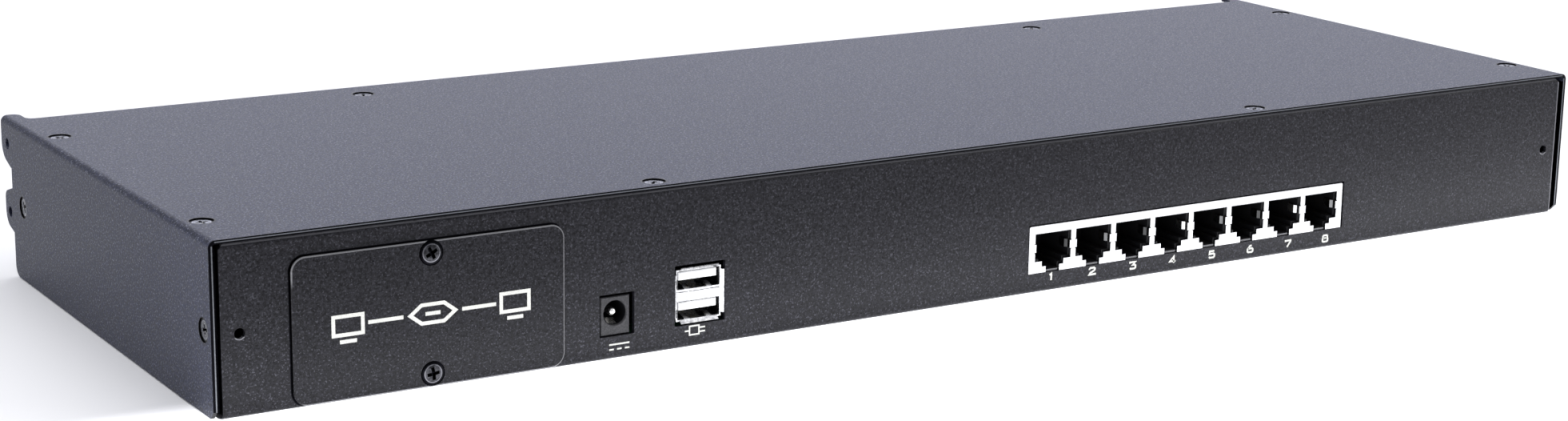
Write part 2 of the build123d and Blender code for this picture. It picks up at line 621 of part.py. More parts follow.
def make_jack_body():
    """Moulded barrel socket, round bore in a square front, with a slot for its spring."""
    x = (JACK_X - JACK_WIDTH / 2, JACK_X + JACK_WIDTH / 2)
    body = block(x, (JACK_FACE_Y, JACK_FACE_Y + JACK_DEPTH), (BOARD_TOP, JACK_TOP))
    body -= block(x, (JACK_FACE_Y - 1, PANEL_INNER_Y + 0.15), (BOARD_TOP - 1, JACK_CUT_Z[0] + 0.2))
    front = [e for e in body.edges() if e.center().Y < JACK_FACE_Y + 0.01]
    body = chamfer(front, 0.25)
    body -= rod(JACK_X, (JACK_FACE_Y - 1, JACK_FACE_Y + 9.5), JACK_HOLE_Z, JACK_HOLE_R, "y")
    rim = Rot(90, 0, 0) * Cone(JACK_HOLE_R, JACK_HOLE_R + 0.35, 0.35)
    body -= Pos(JACK_X, JACK_FACE_Y + 0.17, JACK_HOLE_Z) * rim
    slot_y = (JACK_FACE_Y + 1.2, JACK_FACE_Y + 11)
    body -= block((JACK_X - 1.5, JACK_X + 1.5), slot_y, (BOARD_TOP - 1, JACK_HOLE_Z - 2))
    body -= rod(JACK_X, (JACK_FACE_Y + 9, JACK_FACE_Y + JACK_DEPTH + 1), JACK_HOLE_Z, 1.1, "y")
    return body


def make_jack_pin():
    pin = rod(JACK_X, (JACK_FACE_Y + 1.0, JACK_FACE_Y + JACK_DEPTH + 0.6), JACK_HOLE_Z, 1.05, "y")
    return fillet(pin.edges().sort_by(Axis.Y)[0], 0.9)


def make_jack_spring():
    """Bent leaf under the bore that presses on the plug's barrel."""
    y = JACK_FACE_Y
    floor = JACK_HOLE_Z - JACK_HOLE_R
    points = [
        (y + 1.6, floor - 0.5),
        (y + 3.6, floor + 0.75),
        (y + 4.4, floor + 0.75),
        (y + 10.4, floor - 1.2),
        (y + 10.4, BOARD_TOP - 2.4),
        (y + 10.7, BOARD_TOP - 2.4),
        (y + 10.7, floor - 1.0),
        (y + 4.4, floor + 1.05),
        (y + 3.5, floor + 1.05),
        (y + 1.4, floor - 0.3),
    ]
    return side_prism(points, (JACK_X - 1.2, JACK_X + 1.2))


nodes["power_jack_body"] = make_jack_body()
nodes["power_jack_pin"] = make_jack_pin()
nodes["power_jack_spring"] = make_jack_spring()
slot_y = (JACK_FACE_Y + 10.2, JACK_FACE_Y + 10.9)
nodes["main_board"] -= block((JACK_X - 1.4, JACK_X + 1.4), slot_y, (0, 10))


# ---- front link connector -----------------------------------------------------------------
def trapezoid(width, height, slope, corner):
    """Rounded D outline, wider at the top."""
    low = width / 2 - slope
    top = height / 2
    points = ((-width / 2, top), (width / 2, top), (low, -top), (-low, -top))
    outline = make_face(Polyline(*points, close=True))
    return fillet(outline.vertices(), corner)


def link_extrude(sketch, y):
    plane = Plane(origin=(LINK_X, y[0], LINK_Z), x_dir=(-1, 0, 0), z_dir=(0, 1, 0))
    return extrude(plane * sketch, amount=y[1] - y[0])


def make_link_shell():
    """Plated flange and D shroud of the link connector."""
    inner = FRONT_WALL_Y - TRAY_SHEET
    flange_x = (LINK_X - 26.5, LINK_X + 26.5)
    flange = rounded_panel(flange_x, (LINK_Z - 6.2, LINK_Z + 6.2), (inner - 0.7, inner - 0.05), 1.5)
    shroud = link_extrude(trapezoid(38.4, 7.9, 0.7, 2.2), (inner - 0.3, inner + 5.6))
    hollow = link_extrude(trapezoid(37.6, 7.1, 0.7, 1.8), (inner - 2, inner + 7))
    shell = flange + shroud - hollow
    for side in (-1, 1):
        shell -= rod(LINK_X + side * LINK_POST_X, (inner - 2, inner + 1), LINK_Z, 1.6, "y")
    return shell


def link_pin_places():
    places = []
    for count, z in ((13, 1.42), (12, -1.42)):
        places += [((k - (count - 1) / 2) * 2.77, z) for k in range(count)]
    return places


def make_link_insert():
    inner = FRONT_WALL_Y - TRAY_SHEET
    insert = link_extrude(trapezoid(37.3, 6.8, 0.7, 1.6), (inner - 1.0, inner + 5.4))
    base_z = (BOARD_TOP + 0.05, LINK_Z + 5.5)
    insert += block((LINK_X - 19.5, LINK_X + 19.5), (inner - 9.5, inner - 0.8), base_z)
    for x, z in link_pin_places():
        insert -= rod(LINK_X + x, (inner - 6, inner + 6), LINK_Z + z, 0.65, "y")
    return insert


def make_link_contacts():
    inner = FRONT_WALL_Y - TRAY_SHEET
    contacts = []
    for x, z in link_pin_places():
        sleeve = rod(LINK_X + x, (inner - 5.5, inner + 4.8), LINK_Z + z, 0.6, "y")
        sleeve -= rod(LINK_X + x, (inner - 1, inner + 5), LINK_Z + z, 0.4, "y")
        contacts.append(sleeve)
    return Compound(children=contacts)


def make_link_posts():
    """Hexagonal jack screws on each side of the link connector."""
    inner = FRONT_WALL_Y - TRAY_SHEET
    posts = []
    for side in (-1, 1):
        x = LINK_X + side * LINK_POST_X
        plane = Plane(origin=(x, FRONT_WALL_Y, LINK_Z), x_dir=(1, 0, 0), z_dir=(0, 1, 0))
        post = extrude(plane * RegularPolygon(2.7, 6), amount=4.6)
        post += rod(x, (inner - 5, FRONT_WALL_Y + 0.1), LINK_Z, 1.45, "y")
        post -= rod(x, (FRONT_WALL_Y + 0.6, FRONT_WALL_Y + 6), LINK_Z, 1.2, "y")
        posts.append(post)
    return Compound(children=posts)


nodes["link_shell"] = make_link_shell()
nodes["link_insert"] = make_link_insert()
nodes["link_contacts"] = make_link_contacts()
nodes["link_jack_posts"] = make_link_posts()


# ---- board components ---------------------------------------------------------------------
def flat_pack(size, height, leads, pitch):
    """Square chip body and its gull-wing leads, standing on z = 0."""
    body = Pos(0, 0, height / 2 + 0.15) * Box(size, size, height - 0.15)
    body = chamfer(body.faces().sort_by(Axis.Z)[-1].edges(), 0.3)
    pins = []
    edge = size / 2
    foot = ((edge + 0.02, 0.75), (edge + 0.5, 0.75), (edge + 0.75, 0.02), (edge + 1.3, 0.02))
    heel = [(r, z + 0.16) for r, z in reversed(foot)]
    for turn in range(4):
        for k in range(leads):
            across = (k - (leads - 1) / 2) * pitch
            plane = Plane(origin=(0, across - 0.13, 0), x_dir=(1, 0, 0), z_dir=(0, -1, 0))
            lead = extrude(plane * make_face(Polyline(*foot, *heel, close=True)), amount=-0.26)
            pins.append(Rot(0, 0, 90 * turn) * lead)
    return body, pins


def small_outline(width, length, height, leads):
    """Two-row chip body and its leads, standing on z = 0, rows on the left and right."""
    body = Pos(0, 0, height / 2 + 0.1) * Box(width, length, height - 0.1)
    pins = []
    for side in (-1, 1):
        for k in range(leads):
            y = (k - (leads - 1) / 2) * 1.27
            x = sorted((side * (width / 2 + 0.02), side * (width / 2 + 1.0)))
            pins.append(block(x, (y - 0.2, y + 0.2), (0.02, 0.2)))
    return body, pins


def place_all(parts, x, y):
    return [Pos(x, y, BOARD_TOP + 0.02) * part for part in parts]


leads_made = []

body, pins = flat_pack(28.0, 3.2, 40, 0.65)
nodes["matrix_switch_chip"] = Pos(70.0, 0.0, BOARD_TOP + 0.02) * body
leads_made += place_all(pins, 70.0, 0.0)
body, pins = flat_pack(14.0, 1.6, 20, 0.65)
nodes["main_processor"] = Pos(-20.0, 10.0, BOARD_TOP + 0.02) * body
leads_made += place_all(pins, -20.0, 10.0)
body, pins = small_outline(7.5, 18.0, 2.4, 14)
nodes["memory_chip"] = Pos(-50.0, 10.0, BOARD_TOP + 0.02) * body
leads_made += place_all(pins, -50.0, 10.0)

drivers = []
body, pins = small_outline(3.9, 9.9, 1.6, 8)
for centre in port_centres():
    drivers.append(Pos(centre, -44.0, BOARD_TOP + 0.02) * body)
    leads_made += place_all(pins, centre, -44.0)
nodes["port_driver_chips"] = Compound(children=drivers)
nodes["chip_leads"] = Compound(children=leads_made)

crystal = Pos(-20.0, -10.0, BOARD_TOP + 0.05) * extrude(SlotOverall(11.0, 4.6), amount=3.5)
nodes["clock_crystal"] = fillet(crystal.faces().sort_by(Axis.Z)[-1].edges(), 0.4)

can_places = [(-96.0, -40.0), (-84.0, -40.0), (-96.0, -22.0), (118.0, 30.0), (132.0, 30.0)]
CAN_R = 4.0
CAN_HEIGHT = 11.5


def make_can():
    """Electrolytic capacitor can, grooved near its base, with a scored top."""
    can = Pos(0, 0, CAN_HEIGHT / 2) * Cylinder(CAN_R, CAN_HEIGHT)
    groove = Pos(0, 0, 1.8) * (Cylinder(CAN_R + 1, 0.8) - Cylinder(CAN_R - 0.35, 0.8))
    score = Pos(0, 0, CAN_HEIGHT) * (Box(5.0, 0.3, 0.4) + Box(0.3, 5.0, 0.4))
    return can - groove - score


can = make_can()
nodes["electrolytic_capacitors"] = Compound(
    children=[Pos(x, y, BOARD_TOP + 0.05) * can for x, y in can_places]
)

core = Pos(-70.0, -20.0, BOARD_TOP + 3.05) * (Cylinder(6.5, 6.0) - Pos(0, 0, 3.0) * Cylinder(4.0, 1.2))
nodes["power_inductor"] = core
fuse = block((-116.0, -110.0), (-56.0, -53.5), (BOARD_TOP + 0.05, BOARD_TOP + 2.5))
nodes["input_fuse"] = fillet(fuse.edges().filter_by(Axis.X), 0.3)


def make_heat_sink():
    """Finned extrusion over the voltage regulator."""
    low = BOARD_TOP + 4.8
    sink = block((-108.0, -78.0), (14.0, 38.0), (low, low + 2.0))
    for k in range(8):
        x = -106.9 + k * 3.97
        sink += block((x - 0.6, x + 0.6), (14.0, 38.0), (low + 1.9, low + 14.0))
    return sink


nodes["regulator"] = block((-98.0, -88.0), (20.0, 30.0), (BOARD_TOP + 0.05, BOARD_TOP + 4.75))
nodes["heat_sink"] = make_heat_sink()
sounder = Cylinder(6.0, 8.5) - Pos(0, 0, 4.25) * Cylinder(1.2, 2.0)
nodes["sounder"] = Pos(30.0, 45.0, BOARD_TOP + 4.3) * sounder

ceramics = []
resistors = []
seat_z = BOARD_TOP + 0.05
for centre in port_centres():
    for row in range(4):
        y = -34.0 + row * 2.4
        ceramics.append(block((centre - 3.0, centre - 1.0), (y, y + 1.25), (seat_z, seat_z + 1.15)))
        resistors.append(block((centre + 1.0, centre + 3.0), (y, y + 1.25), (seat_z, seat_z + 0.55)))
nodes["ceramic_capacitors"] = Compound(children=ceramics)
nodes["chip_resistors"] = Compound(children=resistors)


# ---- option module header -----------------------------------------------------------------
HEADER_X = (-120.5, -111.7)
HEADER_Y = (-20.0, 34.0)


def make_header_shroud():
    low = BOARD_TOP + 0.05
    shroud = block(HEADER_X, HEADER_Y, (low, low + 9.0))
    well_x = (HEADER_X[0] + 1.2, HEADER_X[1] - 1.2)
    well_y = (HEADER_Y[0] + 1.2, HEADER_Y[1] - 1.2)
    shroud -= block(well_x, well_y, (low + 2.5, low + 10))
    shroud -= block((HEADER_X[0] - 1, HEADER_X[0] + 2), (4.8, 9.2), (low + 2.5, low + 10))
    return shroud


def header_pin_places():
    middle_x = (HEADER_X[0] + HEADER_X[1]) / 2
    middle_y = (HEADER_Y[0] + HEADER_Y[1]) / 2
    return [(middle_x + s * 1.27, middle_y + (k - 9.5) * 2.54) for s in (-1, 1) for k in range(20)]


shroud = make_header_shroud()
pins = []
for x, y in header_pin_places():
    shroud -= block((x - 0.36, x + 0.36), (y - 0.36, y + 0.36), (0, 20))
    pins.append(block((x - 0.32, x + 0.32), (y - 0.32, y + 0.32), (BOARD_TOP + 0.05, BOARD_TOP + 8.0)))
nodes["option_header_shroud"] = shroud
nodes["option_header_pins"] = Compound(children=pins)

# ---- output -------------------------------------------------------------------------------
os.makedirs("parts", exist_ok=True)
for name, shape in nodes.items():
    export_step(shape, f"parts/{name}.step")
    print(name, round(shape.volume, 1))
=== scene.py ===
"""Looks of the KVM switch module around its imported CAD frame. Metres, in the CAD's own frame."""
import json
import math

import bmesh
import bpy
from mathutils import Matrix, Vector


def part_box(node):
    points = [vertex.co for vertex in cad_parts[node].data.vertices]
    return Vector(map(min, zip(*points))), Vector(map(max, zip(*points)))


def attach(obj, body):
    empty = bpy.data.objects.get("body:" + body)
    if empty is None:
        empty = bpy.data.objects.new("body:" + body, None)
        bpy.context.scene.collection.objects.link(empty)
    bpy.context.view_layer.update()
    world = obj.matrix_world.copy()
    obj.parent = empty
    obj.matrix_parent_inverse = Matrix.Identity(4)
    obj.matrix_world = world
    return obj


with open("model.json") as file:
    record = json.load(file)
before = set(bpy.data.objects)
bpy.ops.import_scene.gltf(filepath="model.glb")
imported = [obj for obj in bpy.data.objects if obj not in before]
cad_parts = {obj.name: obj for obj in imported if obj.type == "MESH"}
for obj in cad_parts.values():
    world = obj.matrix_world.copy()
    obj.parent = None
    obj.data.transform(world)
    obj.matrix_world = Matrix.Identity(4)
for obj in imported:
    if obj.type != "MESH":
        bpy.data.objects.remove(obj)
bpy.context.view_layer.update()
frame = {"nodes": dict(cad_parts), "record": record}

nodes = frame["nodes"]

MM = 0.001
COVER_LOW, COVER_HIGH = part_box("top_cover")
REAR_Y = COVER_LOW.y                    # the cover's cut edge at the connector end
HALF_WIDTH = COVER_HIGH.x
PANEL_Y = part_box("chassis_tray")[0].y   # the connector panel's outer face
TRAY_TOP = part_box("chassis_tray")[1].z
PANEL_HALF = 217.5 * MM                 # half the panel's width
PLATE_LOW, PLATE_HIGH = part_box("option_plate")
PLATE_Y = PLATE_LOW.y
PLATE_CORNER = 3.7 * MM

# Axes of the cover's screws and the panel's small holes, in millimetres. Depth is measured from
# REAR_Y, and each axis has a twin mirrored across x = 0.
TOP_SCREWS = [(214.2, 19.5), (214.2, 126.0), (99.2, 5.1), (119.6, 141.5)]   # x, depth
SIDE_SCREWS = [(5.0, 21.4), (143.0, 21.4)]                                  # depth, z
PANEL_HOLE_X, PANEL_HOLE_Z = 212.8, 20.7
PLATE_SCREWS_Z = (4.0, 34.4)            # the plate's two screws, above each other in its middle
SCREW_HEAD = 2.7 * MM
SCREW_SINK = 0.35 * MM


# ---- node material helpers ------------------------------------------------------------------
class Recipe:
    """A short way to write one procedural material on object coordinates, in metres.

    A mask is a socket that runs from 0 to 1. `soft` is half the width of a mask's edge.
    """

    def __init__(self, name, color, roughness, metallic=0.0, specular=0.5):
        self.material = bpy.data.materials.new(name)
        self.material.use_nodes = True
        self.tree = self.material.node_tree
        self.shader = self.tree.nodes["Principled BSDF"]
        self.shader.inputs["Base Color"].default_value = (*color, 1)
        self.shader.inputs["Roughness"].default_value = roughness
        self.shader.inputs["Metallic"].default_value = metallic
        self.shader.inputs["Specular IOR Level"].default_value = specular
        self.place = self.add("ShaderNodeTexCoord").outputs["Object"]
        self.relief = None

    def add(self, kind, **settings):
        node = self.tree.nodes.new(kind)
        for key, value in settings.items():
            setattr(node, key, value)
        return node

    def link(self, source, target):
        self.tree.links.new(source, target)

    def noise(self, feature, detail=2.0, roughness=0.5, stretch=(1, 1, 1)):
        """Noise whose blobs are about `feature` metres across."""
        scale = self.add("ShaderNodeMapping")
        scale.inputs["Scale"].default_value = stretch
        self.link(self.place, scale.inputs["Vector"])
        node = self.add("ShaderNodeTexNoise")
        node.inputs["Scale"].default_value = 1 / feature
        node.inputs["Detail"].default_value = detail
        node.inputs["Roughness"].default_value = roughness
        self.link(scale.outputs["Vector"], node.inputs["Vector"])
        return node.outputs["Fac"]

    def cells(self, feature):
        """Distance to the nearest of scattered points about `feature` metres apart."""
        node = self.add("ShaderNodeTexVoronoi")
        node.inputs["Scale"].default_value = 1 / feature
        self.link(self.place, node.inputs["Vector"])
        return node.outputs["Distance"]

    def ramp(self, value, low, high, to_low=0.0, to_high=1.0):
        node = self.add("ShaderNodeMapRange", interpolation_type="SMOOTHSTEP")
        node.inputs["From Min"].default_value = low
        node.inputs["From Max"].default_value = high
        node.inputs["To Min"].default_value = to_low
        node.inputs["To Max"].default_value = to_high
        self.link(value, node.inputs["Value"])
        return node.outputs["Result"]

    def math(self, operation, first, second=None):
        node = self.add("ShaderNodeMath", operation=operation)
        for socket, value in zip(node.inputs, (first, second)):
            if value is None:
                continue
            if isinstance(value, (int, float)):
                socket.default_value = value
            else:
                self.link(value, socket)
        return node.outputs["Value"]

    def vector_math(self, operation, first, second=None):
        """The node of one vector operation. The second operand is a constant."""
        node = self.add("ShaderNodeVectorMath", operation=operation)
        self.link(first, node.inputs[0])
        if second is not None:
            node.inputs[1].default_value = second
        return node

    def mix_color(self, mask, first, second):
        """Blend from the first colour to the second; either may be a colour or a socket."""
        node = self.add("ShaderNodeMix", data_type="RGBA")
        self.link(mask, node.inputs["Factor"])
        for socket, value in ((node.inputs[6], first), (node.inputs[7], second)):
            if isinstance(value, tuple):
                socket.default_value = (*value, 1)
            else:
                self.link(value, socket)
        return node.outputs[2]

    def axis(self, letter):
        node = self.add("ShaderNodeSeparateXYZ")
        self.link(self.place, node.inputs["Vector"])
        return node.outputs[letter]

    def beyond(self, value, limit, soft=0.03 * MM):
        """1 where the value is above the limit, 0 below it."""
        return self.ramp(value, limit - soft, limit + soft)

    def below(self, value, limit, soft=0.03 * MM):
        """1 where the value is below the limit, 0 above it."""
        return self.ramp(value, limit + soft, limit - soft)

    def band(self, value, low, high, soft=0.03 * MM):
        """1 between the two limits."""
        return self.both(self.beyond(value, low, soft), self.below(value, high, soft))

    def outside(self, mask, soft=0.1):
        """1 where a mask is 0."""
        return self.below(mask, 0.5, soft)

    def both(self, first, second):
        return self.math("MULTIPLY", first, second)

    def either(self, first, second):
        return self.math("MAXIMUM", first, second)

    def nearest(self, centres, plane):
        """Distance to the nearest of some axes, given in one plane and mirrored about x = 0."""
        mirrored = self.add("ShaderNodeCombineXYZ")
        self.link(self.math("ABSOLUTE", self.axis("X")), mirrored.inputs["X"])
        self.link(self.axis("Y"), mirrored.inputs["Y"])
        self.link(self.axis("Z"), mirrored.inputs["Z"])
        in_plane = [1.0 if letter in plane else 0.0 for letter in "XYZ"]
        flat = self.vector_math("MULTIPLY", mirrored.outputs["Vector"], in_plane).outputs["Vector"]
        closest = None
        for centre in centres:
            distance = self.vector_math("DISTANCE", flat, centre).outputs["Value"]
            closest = distance if closest is None else self.math("MINIMUM", closest, distance)
        return closest

    def color(self, source):
        self.link(source, self.shader.inputs["Base Color"])

    def roughness(self, source):
        self.link(source, self.shader.inputs["Roughness"])

    def metallic(self, source):
        self.link(source, self.shader.inputs["Metallic"])

    def bump(self, source, depth):
        """Relief of `depth` metres, on top of any relief already there."""
        node = self.add("ShaderNodeBump")
        node.inputs["Distance"].default_value = depth
        self.link(source, node.inputs["Height"])
        if self.relief is not None:
            self.link(self.relief, node.inputs["Normal"])
        self.relief = node.outputs["Normal"]
        self.link(self.relief, self.shader.inputs["Normal"])


def shade(color, factor):
    return tuple(min(1.0, channel * factor) for channel in color)


# ---- powder coats ---------------------------------------------------------------------------
COVER_TONE = (0.022, 0.0245, 0.041)
COVER_FLECK = (0.22, 0.23, 0.29)
PANEL_TONE = (0.0080, 0.0079, 0.0098)
PANEL_FLECK = (0.055, 0.055, 0.064)
SHADOW_GAP = (0.003, 0.003, 0.004)

top_axes = [(x * MM, REAR_Y + depth * MM, 0) for x, depth in TOP_SCREWS]
side_axes = [(0, REAR_Y + depth * MM, z * MM) for depth, z in SIDE_SCREWS]


def coat(name, base, roughness, specular, pit_share, fleck):
    """Fine-textured powder coat: pebbled skin, paint mottle, dark pits and bright mica flecks.

    Returns the recipe, its paint colour and where the paint is metallic.
    """
    r = Recipe(name, base, roughness, specular=specular)
    grain = r.noise(0.85 * MM, detail=4.0, roughness=0.68)
    speck = r.noise(0.5 * MM, detail=2.0, roughness=0.6)
    pore = r.noise(0.42 * MM, detail=3.0, roughness=0.7)
    pebble = r.noise(0.95 * MM, detail=1.0)
    broad = r.noise(60 * MM, detail=2.0)
    paint = r.mix_color(r.ramp(grain, 0.38, 0.64), shade(base, 0.45), shade(base, 1.7))
    paint = r.mix_color(r.ramp(broad, 0.35, 0.7, 0.0, 0.16), paint, shade(base, 1.25))
    pits = r.ramp(pore, 0.44, 0.34, 0.0, pit_share)
    mica = r.ramp(speck, 0.55, 0.70, 0.0, 0.8)
    paint = r.mix_color(pits, paint, shade(base, 0.4))
    paint = r.mix_color(mica, paint, fleck)
    r.roughness(r.ramp(grain, 0.3, 0.7, roughness - 0.07, roughness + 0.09))
    r.bump(grain, 0.045 * MM)
    r.bump(pebble, 0.04 * MM)
    return r, paint, r.either(pits, mica)


def plate_outline(r):
    """Distance outside the blanking plate's rounded outline, in the panel's plane."""
    middle = (PLATE_LOW + PLATE_HIGH) / 2
    half = (PLATE_HIGH - PLATE_LOW) / 2
    from_middle = r.vector_math("SUBTRACT", r.place, middle).outputs["Vector"]
    reach = r.vector_math("ABSOLUTE", from_middle).outputs["Vector"]
    ignore_y = 1.0                      # more than the object's depth, so y never counts
    inner = (half.x - PLATE_CORNER, ignore_y, half.z - PLATE_CORNER)
    past = r.vector_math("SUBTRACT", reach, inner).outputs["Vector"]
    past = r.vector_math("MAXIMUM", past).outputs["Vector"]
    return r.math("SUBTRACT", r.vector_math("LENGTH", past).outputs["Value"], PLATE_CORNER)


def cover_coat(name):
    """The cover's coat. Its cut edge, sinks and inner faces at the connector end get painted shade, and a
    painted highlight line runs along the cut edge."""
    r, paint, shiny = coat(name, COVER_TONE, 0.4, 0.1, 0.6, COVER_FLECK)
    across, height, along = r.math("ABSOLUTE", r.axis("X")), r.axis("Z"), r.axis("Y")
    skin = 0.06 * MM
    top = r.beyond(height, COVER_HIGH.z - 2.4 * MM)
    sides = r.outside(top)
    under_top = r.both(r.below(height, COVER_HIGH.z - skin), r.below(across, HALF_WIDTH - 2.2 * MM))
    in_sides = r.both(r.below(across, HALF_WIDTH - skin), sides)
    connector_end = r.below(along, REAR_Y + 9 * MM)
    inner = r.both(r.either(under_top, in_sides), connector_end)
    # Painted shade in the screw sinks, on the cut edge and on the inner faces at the connector end.
    top_sink_shade = r.both(r.below(r.nearest(top_axes, "XY"), SCREW_HEAD + 0.85 * MM, 0.08 * MM), top)
    side_sink_shade = r.both(r.below(r.nearest(side_axes, "YZ"), SCREW_HEAD + 0.48 * MM, 0.05 * MM), sides)
    cut = r.below(along, REAR_Y + 0.04 * MM, 0.02 * MM)
    dark = r.either(r.either(inner, r.either(top_sink_shade, side_sink_shade)), cut)

    # A painted highlight line along the cut edge.
    top_highlight = r.band(height, COVER_HIGH.z - 0.62 * MM, COVER_HIGH.z - 0.36 * MM)
    top_highlight = r.both(top_highlight, r.below(across, HALF_WIDTH - 1.6 * MM))
    side_highlight = r.band(across, HALF_WIDTH - 1.0 * MM, HALF_WIDTH - 0.68 * MM)
    side_highlight = r.both(side_highlight, r.below(height, COVER_HIGH.z - 1.4 * MM))
    highlight_line = r.both(r.either(top_highlight, side_highlight), cut)
    edge_shading = r.mix_color(highlight_line, SHADOW_GAP, (0.11, 0.115, 0.125))
    r.color(r.mix_color(dark, paint, edge_shading))
    r.metallic(r.either(dark, shiny))
    return r.material


def panel_coat(name):
    """The tray's coat. The panel's top, right and lower bends and the lower rims of its two holes get
    painted highlights. The gap at its left end and a line around the blanking plate get painted shade."""
    r, paint, shiny = coat(name, PANEL_TONE, 0.34, 0.12, 0.5, PANEL_FLECK)
    across, height = r.axis("X"), r.axis("Z")
    front = r.below(r.axis("Y"), PANEL_Y + 1.3 * MM)
    # Painted highlights on the top, right and lower bends, and painted glints below the holes.
    lit_top = r.beyond(height, TRAY_TOP - 0.62 * MM, 0.12 * MM)
    lit_end = r.beyond(across, PANEL_HALF - 0.30 * MM, 0.08 * MM)
    lit_foot = r.below(height, 0.28 * MM, 0.1 * MM)
    lit_bends = r.either(lit_top, r.either(lit_end, lit_foot))
    holes = r.nearest([(PANEL_HOLE_X * MM, 0, PANEL_HOLE_Z * MM)], "XZ")
    low_half = r.below(height, (PANEL_HOLE_Z - 0.95) * MM, 0.1 * MM)
    hole_glints = r.both(r.below(holes, 1.62 * MM, 0.05 * MM), low_half)
    lit = r.both(r.either(lit_bends, hole_glints), front)

    # Painted shade in the gap at the left end and in a line around the blanking plate.
    behind_face = r.beyond(r.axis("Y"), PANEL_Y + 0.12 * MM)
    above_foot = r.beyond(height, 1.2 * MM, 0.3 * MM)
    left_gap_shade = r.both(r.both(behind_face, above_foot), r.below(across, -PANEL_HALF + 0.05 * MM))
    outline = plate_outline(r)
    plate_shadow_line = r.both(r.beyond(outline, -0.15 * MM), r.below(outline, 0.42 * MM, 0.06 * MM))
    plate_shadow_line = r.both(plate_shadow_line, r.below(across, PLATE_HIGH.x - MM))
    gap_shade = r.either(left_gap_shade, r.both(plate_shadow_line, front))
    color = r.mix_color(lit, paint, (0.13, 0.13, 0.14))
    r.color(r.mix_color(gap_shade, color, SHADOW_GAP))
    r.metallic(r.either(gap_shade, shiny))
    return r.material


def plate_coat(name):
    """The blanking plate's coat. Its cut edges get painted shade, and a painted highlight line runs just
    inside the outline, except down most of the left edge."""
    r, paint, shiny = coat(name, shade(PANEL_TONE, 0.92), 0.34, 0.12, 0.5, PANEL_FLECK)
    # Painted shade on the cut edges, and a painted highlight line inside the outline.
    edge_shading = r.beyond(r.axis("Y"), PLATE_Y + 0.3 * MM, 0.02 * MM)
    rim = r.band(plate_outline(r), -0.34 * MM, -0.02 * MM)
    left = r.below(r.axis("X"), PLATE_LOW.x + 2.5 * MM, 1.5 * MM)
    low_left = r.both(left, r.below(r.axis("Z"), 31 * MM, 3 * MM))
    highlight_line = r.both(rim, r.outside(low_left, 0.4))
    color = r.mix_color(highlight_line, paint, (0.15, 0.15, 0.155))
    r.color(r.mix_color(edge_shading, color, SHADOW_GAP))
    r.metallic(r.either(edge_shading, shiny))
    return r.material


# ---- screws and plated metal ----------------------------------------------------------------
def screw_head(name, color, axes, plane, outward, face):
    """Plated screw with painted shade on its rim and in its cross recess, a painted highlight ring inside
    the rim and painted glints in the recess.

    `face` is how far its top lies from the origin along the `outward` axis.
    """
    r = Recipe(name, color, 0.3, metallic=1.0)
    smear = r.noise(0.8 * MM, detail=3.0)
    metal = r.mix_color(r.ramp(smear, 0.35, 0.7), shade(color, 0.75), shade(color, 1.3))
    away = r.nearest(axes, plane)
    # Painted shade on the rim and in the recess, a painted highlight ring and painted glints in the
    # recess.
    rim = r.beyond(away, SCREW_HEAD - 0.34 * MM, 0.06 * MM)
    highlight_ring = r.band(away, SCREW_HEAD - 0.62 * MM, SCREW_HEAD - 0.4 * MM, 0.05 * MM)
    recess = r.below(r.math("ABSOLUTE", r.axis(outward)), face - 0.14 * MM, 0.06 * MM)
    painted_glint = r.both(recess, r.ramp(r.noise(0.5 * MM, detail=0.0), 0.6, 0.64))
    metal = r.mix_color(highlight_ring, metal, shade(color, 2.0))
    metal = r.mix_color(r.either(rim, recess), metal, SHADOW_GAP)
    r.color(r.mix_color(painted_glint, metal, (0.8, 0.8, 0.8)))
    r.roughness(r.ramp(smear, 0.3, 0.75, 0.24, 0.42))
    r.bump(smear, 0.02 * MM)
    return r.material


def plate_screw(name):
    """Black oxide screw, with painted shade on its rim and in its cross and a painted highlight ring
    inside the rim.
    """
    r = Recipe(name, (0.03, 0.03, 0.033), 0.3, metallic=1.0)
    smear = r.noise(0.7 * MM, detail=3.0)
    mirrored_x = -(PLATE_LOW.x + PLATE_HIGH.x) / 2      # nearest() mirrors the plate to positive x
    away = r.nearest([(mirrored_x, 0, z * MM) for z in PLATE_SCREWS_Z], "XZ")
    # Painted shade on the rim and in the recess, and a painted highlight ring.
    rim = r.beyond(away, 2.42 * MM, 0.06 * MM)
    highlight_ring = r.band(away, 2.12 * MM, 2.36 * MM, 0.05 * MM)
    metal = r.mix_color(r.ramp(smear, 0.35, 0.7), (0.020, 0.020, 0.022), (0.05, 0.05, 0.055))
    metal = r.mix_color(highlight_ring, metal, (0.11, 0.11, 0.12))
    face = r.below(r.axis("Y"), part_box("option_plate_screws")[0].y + 0.5 * MM, 0.05 * MM)
    recess = r.both(r.below(away, 1.9 * MM), r.outside(face))
    r.color(r.mix_color(r.either(rim, recess), metal, SHADOW_GAP))
    r.roughness(r.ramp(smear, 0.3, 0.75, 0.22, 0.4))
    r.bump(smear, 0.03 * MM)
    return r.material


def rolling_marks(r):
    """Fine lines and broad smears of rolled sheet, as relief and as two masks."""
    lines = r.noise(0.25 * MM, detail=3.0, stretch=(1, 1, 0.08))
    smear = r.noise(3.5 * MM, detail=3.0)
    r.bump(lines, 0.004 * MM)
    r.bump(smear, 0.02 * MM)
    return lines, smear


